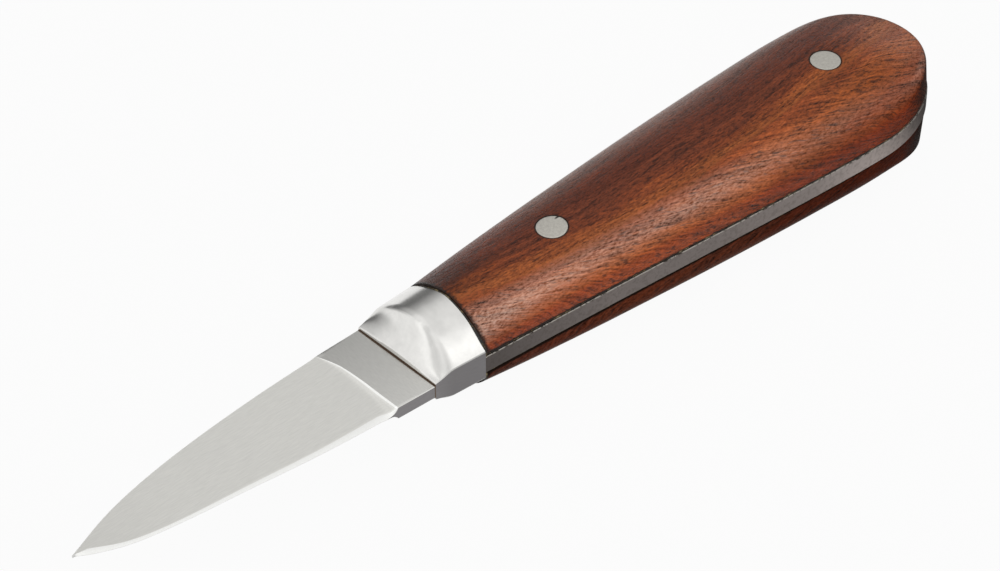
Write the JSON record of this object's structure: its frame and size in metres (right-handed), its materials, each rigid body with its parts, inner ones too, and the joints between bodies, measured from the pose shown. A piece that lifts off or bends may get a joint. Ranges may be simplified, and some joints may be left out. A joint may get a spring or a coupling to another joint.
{
  "type": "oyster knife",
  "caption": "Oyster knife with a short pointed blade, an arched bolster and a full tang between riveted wooden handle scales.",
  "frame": {"origin": "middle of the knife's bounding box, on the middle plane of the steel", "axes": "+X along the knife to the tip, +Y to the cutting edge, +Z out of the left side, up as the knife lies on its right side"},
  "size_m": [0.1712, 0.028, 0.021],
  "materials": {
    "blade_steel": "stainless steel, fine satin on the blade, polished bolster, ground tang",
    "handle_wood": "reddish brown hardwood, sanded and varnished to a gloss",
    "adhesive": "cured dark epoxy, uneven along its edge",
    "rivet_metal": "pale matt metal, sanded flush with the wood"
  },
  "bodies": {
    "root": {"forged_blade": "blade_steel", "left_handle_scale": "handle_wood", "right_handle_scale": "handle_wood", "left_glue_film": "adhesive", "right_glue_film": "adhesive", "front_rivet_stud": "rivet_metal", "front_rivet_sleeve": "rivet_metal", "rear_rivet_stud": "rivet_metal", "rear_rivet_sleeve": "rivet_metal"}
  },
  "joints": []
}
